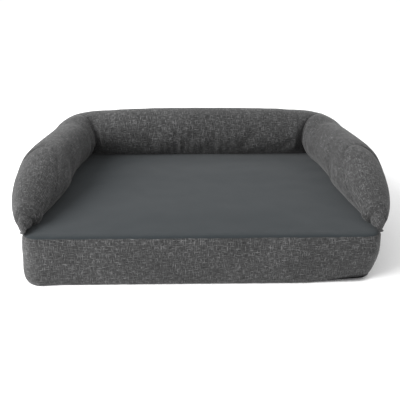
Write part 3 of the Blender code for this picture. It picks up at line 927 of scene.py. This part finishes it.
def plush_top():
    """The plush sleeping panel, turned down over the mattress's edge to its seam."""
    insets = (0.0026, 0.0014, 0.0012, 0.0026, 0.0060, 0.0110, 0.0200)
    heights = (-0.0085, -0.0068, -0.0046, -0.0026, -0.0010, -0.0003)
    piece = capped_panel("plush_top", insets, heights, crown, 1)
    return finished(piece, PLUSH_THICKNESS)


def underside():
    """The cloth under the mattress, turned up at its edge."""
    insets = (0.0030, 0.0020, 0.0040, 0.0100, 0.0200)
    heights = (0.0025, 0.0009, 0.0003, 0.0)

    def level(x, y):
        return UNDERSIDE_HEIGHT + 0 * x

    piece = capped_panel("underside_panel", insets, heights, level, -1)
    return finished(piece, 0.0)


def outline_with_normals():
    """The mattress's border as a closed loop, with outward directions and the length along it."""
    line = border(mattress_grid())
    step = np.roll(line, -1, axis=0) - np.roll(line, 1, axis=0)
    outward = np.stack([step[:, 1], -step[:, 0]], axis=-1)
    outward /= np.linalg.norm(outward, axis=1, keepdims=True)
    length = np.linalg.norm(np.roll(line, -1, axis=0) - line, axis=1)
    return line, outward, np.concatenate([[0], np.cumsum(length)[:-1]])


def band_offset(along, t, x, y):
    """How far the band stands out of the mattress's outline, t from 0 at the bottom to 1."""
    full = 1 - np.abs(2 * t - 1) ** 3
    offset = BAND_FULLNESS * full - BAND_SEAM_IN
    offset += BAND_LUMP * wave(along, 0.3 * t, 0.11, 51.0) * full
    offset += TOP_PUCKER * wave(along, 0.25 * t, 0.020, 53.0) * falling(1 - t, PUCKER_FADE)
    offset += BOTTOM_PUCKER * wave(along, 0.25 * t, 0.024, 55.0) * falling(t, PUCKER_FADE)
    loose = smooth_step(x, 0.26, 0.40) * smooth_step(-y, 0.15, 0.30)
    offset += LOOSE_RIPPLE * loose * wave(along, 0.06 * t, 0.030, 57.0) * full
    return offset + corner_shift(x, y, t)


def corner_shift(x, y, t):
    """How far the front corners lean: the left one out at its bottom, and the right one in."""
    front = smooth_step(-y, 0.22, 0.33)
    low = smooth_step(1 - t, 0.25, 1.0)
    return front * low * (FLARE * smooth_step(-x, 0.36, 0.44) - SLUMP * smooth_step(x, 0.25, 0.44))


def corner_lift(x, y, t):
    """How far the right front corner is rolled up off the floor."""
    return CORNER_LIFT * smooth_step(x, 0.24, 0.45) * smooth_step(-y, 0.24, 0.33) * (1 - t) ** 1.5


def leaned(points):
    """Moves what is inside the band, or closes it, along with its leaning front corners."""
    x, y, z = points.T
    t = np.clip((z - BAND_LOW) / (BAND_HIGH - BAND_LOW), 0, 1)
    near = smooth_step(LEAN_DEPTH - edge_distance(x, y), 0, LEAN_DEPTH)
    out = np.column_stack([x, y - LEAN_CENTRE_Y, 0 * x])
    out /= np.maximum(np.linalg.norm(out, axis=1, keepdims=True), 1e-6)
    moved = points + (near * corner_shift(x, y, t))[:, None] * out
    moved[:, 2] += near * corner_lift(x, y, t)
    return moved


def flat_by_zip(x, y, z, offset):
    """The band's offset, less full beside the zip's ends so that it meets the flat rear strips."""
    beside = (1 - smooth_step(np.abs(x) - OPENING_END, 0, ZIP_END_BLEND)) * (y > BACK_Y - 0.002)
    to_zip = np.abs(z - ZIP_HEIGHT) - ZIP_HALF_OPENING
    flat = 0.6 * offset * smooth_step(to_zip, 0, ZIP_SIDE_BLEND) + REAR_STAND
    return offset + (flat - offset) * beside


def band_grid(low, high, rows):
    """Points of a strip of the band between two heights, all round the mattress."""
    line, outward, along = outline_with_normals()
    levels = np.linspace(low, high, rows)
    t = (levels - BAND_LOW) / (BAND_HIGH - BAND_LOW)
    a, tt = np.meshgrid(along, t, indexing="ij")
    x, y = line[:, :1] + 0 * tt, line[:, 1:] + 0 * tt
    offset = flat_by_zip(x, y, levels + 0 * a, band_offset(a, tt, x, y))
    place = line[:, None, :] + offset[..., None] * outward[:, None, :]
    points = np.dstack([place, tt * (BAND_HIGH - BAND_LOW) + BAND_LOW + corner_lift(x, y, tt)])
    places = np.dstack([a, levels + 0 * a])
    return points, places


def boxing_band():
    """The linen side of the mattress, from one end of the rear opening round the front."""
    points, places = band_grid(BAND_LOW, BAND_HIGH, BAND_ROWS)
    keep = ~((points[:, 0, 1] > BACK_Y - 0.004) & (np.abs(points[:, 0, 0]) < OPENING_END - 0.0005))
    start = int(np.argmax(~keep))
    order = np.roll(np.arange(len(keep)), -start)
    order = order[keep[order]]
    points, places = points[order], places[order]
    step = np.linalg.norm(np.diff(points[:, 0], axis=0), axis=1)
    places[..., 0] = np.concatenate([[0], np.cumsum(step)])[:, None]
    points = tucked(points)
    piece = mesh_object("boxing_band_cover", points.reshape(-1, 3), grid_faces(*points.shape[:2]),
                        places.reshape(-1, 2))
    return finished(piece, BAND_THICKNESS)


def tucked(points):
    """Turns the band's top and bottom rows in under their seams."""
    middle = points[:, points.shape[1] // 2]
    centre = np.array([0, (FRONT_Y + BACK_Y) / 2, 0])
    inward = centre - middle
    inward[:, 2] = 0
    inward /= np.linalg.norm(inward, axis=1, keepdims=True)
    for row in (0, -1):
        points[:, row] += SEAM_TURN * inward
    return points


def rear_surface(x, z):
    """The place y of the linen behind the bed, which lies flat beside the zip."""
    t = (z - BAND_LOW) / (BAND_HIGH - BAND_LOW)
    to_zip = np.abs(z - ZIP_HEIGHT) - ZIP_HALF_OPENING
    bulge = band_offset(x, t, x, 0 * x + BACK_Y) * smooth_step(to_zip, 0, ZIP_SIDE_BLEND)
    ends = smooth_step(OPENING_END - np.abs(x), 0, 0.02)
    return BACK_Y + REAR_STAND + bulge * (0.6 + 0.4 * ends)


def strip(name, low, high, rows, columns, depth, thickness):
    """An upright strip of cloth across the back, whose place y is depth(x, z)."""
    x = np.linspace(high[0], low[0], columns)
    z = np.linspace(low[1], high[1], rows)
    xx, zz = np.meshgrid(x, z, indexing="ij")
    points = np.dstack([xx, depth(xx, zz), zz]).reshape(-1, 3)
    return finished(mesh_object(name, points, grid_faces(columns, rows), points[:, [0, 2]]), thickness)


def rear_band(name, low, high):
    """The straight strip of linen above or under the zip, turned in at its far seam."""
    far = high if high > ZIP_HEIGHT else low

    def depth(x, z):
        return rear_surface(x, z) - SEAM_TURN * (np.abs(z - far) < 0.001)

    columns = int(2 * OPENING_END / CLOTH_SPACING)
    corners = (-OPENING_END, low), (OPENING_END, high)
    return strip(name, *corners, REAR_ROWS, columns, depth, BAND_THICKNESS)


def zip_tape(name, node):
    """The woven tape that holds one half of the coil, with a slight ripple."""
    low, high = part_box(node)

    def depth(x, z):
        return high.y + TAPE_RIPPLE * wave(x, z, 0.012, 61.0)

    return strip(name, (low.x, low.z), (high.x, high.z), 4, 160, depth, high.y - low.y)


def care_label():
    """A blank woven label that lies on the linen under the zip and curls at its free end."""
    low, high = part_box("care_label")

    def depth(x, z):
        hang = (high.z - z) / (high.z - low.z)
        ripple = LABEL_RIPPLE * wave(x, z, 0.02, 63.0) * hang
        return rear_surface(x, z) + LABEL_STAND + LABEL_CURL * hang**3 + ripple

    return strip("care_label_cloth", (low.x, low.z), (high.x, high.z), 10, 8, depth, LABEL_THICKNESS)


def turned(profile, sides):
    """A small round shape's points and faces, from a profile of heights and widths going up."""
    ring = [(math.cos(a), math.sin(a)) for a in (2 * math.pi * i / sides for i in range(sides))]
    points = np.array([(c * width, s * width, height) for height, width in profile for c, s in ring])
    index = grid_index(len(profile), sides)
    faces = [[below[i - 1], below[i], above[i], above[i - 1]]
             for below, above in zip(index, index[1:]) for i in range(sides)]
    return points, [*faces, index[0][::-1], index[-1]]


def copies(name, shape, faces, centres, cloth_axes):
    """One mesh with a small shape at each of the centres."""
    points = (np.asarray(centres)[:, None, :] + shape).reshape(-1, 3)
    every = [[len(shape) * k + i for i in face] for k in range(len(centres)) for face in faces]
    return mesh_object(name, points, every, points[:, cloth_axes])


def beads(name, centres, half_sizes, turn=0.0):
    """Small rounded bars of one size, turned about Y, at many places."""
    bar, faces = turned(BAR_PROFILE, 6)
    cosine, sine = math.cos(turn), math.sin(turn)
    bar = bar * half_sizes @ np.array([[cosine, 0, -sine], [0, 1, 0], [sine, 0, cosine]])
    return copies(name, bar, faces, centres, [0, 2])


def zip_teeth(name, node, shift):
    """One half of the zip's coil, as turns of its nylon wire side by side."""
    low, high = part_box(node)
    sign = 1 if (low.z + high.z) / 2 > ZIP_HEIGHT else -1
    inner = ZIP_HEIGHT + sign * TOOTH_GAP
    outer = high.z if sign > 0 else low.z
    middle = (inner + outer) / 2
    count = int((high.x - low.x) / TOOTH_PITCH) - 1
    depth = (low.y + high.y) / 2
    centres = [(low.x + (i + 0.5 + shift) * TOOTH_PITCH, depth, middle) for i in range(count)]
    return beads(name, centres, (TOOTH_HALF_WIDTH, (high.y - low.y) / 2, abs(outer - inner) / 2))


def zip_stitching():
    """Rows of stitches that hold the tapes to the linen above and under the zip."""
    count = int(2 * OPENING_END / STITCH_PITCH) - 2
    centres = []
    for sign in (-1, 1):
        z = ZIP_HEIGHT + sign * (ZIP_HALF_OPENING + STITCH_OUT)
        for i in range(count):
            x = -OPENING_END + (i + 1.5) * STITCH_PITCH
            y = float(rear_surface(np.array(x), np.array(z))) + 0.0001
            centres.append((x, y, z))
    return beads("zip_stitching", centres, STITCH_HALF_SIZES, math.pi / 2)


def grip_dots():
    """Rubber dots under the bed, in staggered rows."""
    centres = []
    row = 0
    y = FRONT_Y + 0.035
    while y < BACK_Y - 0.03:
        x = -HALF_WIDTH + (0.035 if row % 2 else 0.0475)
        while x < HALF_WIDTH - 0.03:
            if edge_distance(x, y) > DOT_MARGIN:
                centres.append((x, y, 0))
            x += DOT_PITCH
        y += DOT_PITCH
        row += 1
    dot, faces = turned(DOT_PROFILE, 10)
    return copies("grip_dots", dot * (DOT_RADIUS, DOT_RADIUS, 1), faces, centres, [0, 1])


def block(name, inset, low, high):
    """A closed block of foam with soft edges, inset from the mattress's outline."""
    inner = mattress_grid(inset + FOAM_ROUNDING)[::2, ::2]
    ring = border(mattress_grid(inset)[::2, ::2])
    index = grid_index(*inner.shape[:2])
    points = [np.dstack([inner, height + 0 * inner[..., 0]]).reshape(-1, 3) for height in (low, high)]
    loops = [border(index)]
    used = 2 * index.size
    for height in (low + FOAM_ROUNDING, high - FOAM_ROUNDING):
        points.append(np.column_stack([ring, height + 0 * ring[:, 0]]))
        loops.append(used + np.arange(len(ring)))
        used += len(ring)
    loops.append(index.size + border(index))
    level = grid_faces(*index.shape)
    sides = [face[:, ::-1] for face in joined(loops)]
    faces = np.concatenate([level[:, ::-1], index.size + level, *sides])
    points = leaned(np.concatenate(points))
    return mesh_object(name, points, faces, points[:, :2])


# The stage


def add_camera():
    data = bpy.data.cameras.new("camera")
    data.lens = CAMERA_LENS
    camera = bpy.data.objects.new("camera", data)
    camera.location = CAMERA_PLACE
    camera.rotation_euler = (math.pi / 2 - CAMERA_DOWN, 0, CAMERA_TURN)
    bpy.context.scene.collection.objects.link(camera)
    bpy.context.scene.camera = camera


def add_light():
    """One large soft lamp at the front left, and an even white world."""
    data = bpy.data.lights.new("key", "AREA")
    data.shape = "DISK"
    data.size = LIGHT_SIZE
    data.energy = LIGHT_POWER
    lamp = bpy.data.objects.new("key", data)
    lamp.location = LIGHT_PLACE
    lamp.rotation_euler = (Vector(LIGHT_TARGET) - Vector(LIGHT_PLACE)).to_track_quat("-Z", "Y").to_euler()
    bpy.context.scene.collection.objects.link(lamp)
    world = bpy.data.worlds.new("studio")
    world.use_nodes = True
    background = world.node_tree.nodes["Background"]
    background.inputs["Color"].default_value = (1, 1, 1, 1)
    background.inputs["Strength"].default_value = 1.0
    bpy.context.scene.world = world


def add_floor():
    mesh = bpy.data.meshes.new("floor")
    corners = [(-1, -1), (1, -1), (1, 1), (-1, 1)]
    mesh.from_pydata([(FLOOR_REACH * x, FLOOR_REACH * y, 0) for x, y in corners], [], [(0, 1, 2, 3)])
    floor = bpy.data.objects.new("floor", mesh)
    floor.location.z = -FLOOR_DROP
    bpy.context.scene.collection.objects.link(floor)
    mesh.materials.append(Nodes("pale_floor").shaded({"Base Color": FLOOR_COLOUR, "Roughness": 0.9}))


def place(piece, material, slot, *nodes):
    """Gives a piece its material, and puts it on the bed in place of CAD nodes; slot is not used."""
    dress(piece, material)
    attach(piece, "bed")
    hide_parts(*nodes)


add_camera()
add_light()
add_floor()
bpy.context.scene.view_settings.view_transform = "Standard"

# The bolster: linen rolls with their linings and stuffing

linen = linen_material()
underside_cloth = plain_cloth("underside_cloth", (0.045, 0.045, 0.047))
fibre = foam_material("polyester_fibre", (0.80, 0.80, 0.78))

back, back_under, back_stuffing, mitre_rings = back_roll()
place(back_stuffing, fibre, "polyester_fibre", "back_bolster_filling")
place(back, linen, "linen_weave", "back_bolster_cover")
place(back_under, underside_cloth, "underside_cloth", "back_bolster_lining")
for side, side_name in ((-1, "left"), (1, "right")):
    cover, end, under, stuffing = arm(side, side_name, mitre_rings[side])
    place(stuffing, fibre, "polyester_fibre", side_name + "_arm_filling")
    place(cover, linen, "linen_weave", side_name + "_arm_cover")
    place(end, linen, "linen_weave", side_name + "_arm_end_panel")
    place(under, underside_cloth, "underside_cloth", side_name + "_arm_lining")

# The mattress's foam, in its liner

foam_blue = foam_material("support_foam", (0.30, 0.33, 0.36))
foam_cream = foam_material("memory_foam", (0.72, 0.66, 0.50))
liner_cloth = plain_cloth("liner_cloth", (0.62, 0.62, 0.60))
support = block("support_foam_block", FOAM_INSET, FOAM_LOW, FOAM_JOINT - FOAM_HALF_GAP)
topper = block("memory_foam_block", FOAM_INSET, FOAM_JOINT + FOAM_HALF_GAP, FOAM_HIGH)
liner = block("foam_liner_bag", LINER_INSET, LINER_LOW, LINER_HIGH)
place(support, foam_blue, "support_foam", "support_foam")
place(topper, foam_cream, "memory_foam", "memory_foam_topper")
place(liner, liner_cloth, "liner_cloth", "foam_liner")

# The mattress's cover

plush = plush_material()
top = plush_top()
place(top, plush, "plush_suede", "sleeping_panel")
bottom = underside()
place(bottom, underside_cloth, "underside_cloth", "bottom_panel")
band = boxing_band()
place(band, linen, "linen_weave", "boxing_band")
outline_length = outline_with_normals()[2][-1]
for name, node, low, high in (
    ("rear_band_lower_cover", "rear_band_lower", BAND_LOW, ZIP_HEIGHT - ZIP_HALF_OPENING),
    ("rear_band_upper_cover", "rear_band_upper", ZIP_HEIGHT + ZIP_HALF_OPENING, BAND_HIGH),
):
    piece = rear_band(name, low, high)
    place(piece, linen, "linen_weave", node)

# The zip, the care label and the grip dots

tape_cloth = plain_cloth("zip_tape", (0.020, 0.020, 0.021))
coil_plastic = hard_material("zip_coil", (0.022, 0.022, 0.023), 0.38, 0.0)
metal = hard_material("zip_metal", (0.11, 0.11, 0.115), 0.36, 1.0)
thread = hard_material("thread", (0.05, 0.05, 0.052), 0.8, 0.0)
rubber = hard_material("grip_rubber", (0.03, 0.03, 0.03), 0.7, 0.0)
label_cloth = plain_cloth("label_cloth", (0.70, 0.70, 0.68))
for side_name, shift in (("upper", 0.0), ("lower", 0.5)):
    tape_node, coil_node = "zip_tape_" + side_name, "zip_coil_" + side_name
    tape = zip_tape(tape_node + "_cloth", tape_node)
    place(tape, tape_cloth, "zip_tape", tape_node)
    place(zip_teeth("zip_teeth_" + side_name, coil_node, shift), coil_plastic, "zip_coil", coil_node)
label = care_label()
place(label, label_cloth, "label_cloth", "care_label")
for node in ("zip_slider", "zip_pull_tab", "zip_stop_closed_end", "zip_stop_open_end"):
    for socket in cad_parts[node].material_slots:
        socket.material = metal
extras = ((zip_stitching(), thread, "zip_tape"), (grip_dots(), rubber, "underside_cloth"))
for piece, material, slot in extras:
    dress(piece, material)
    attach(piece, "bed")
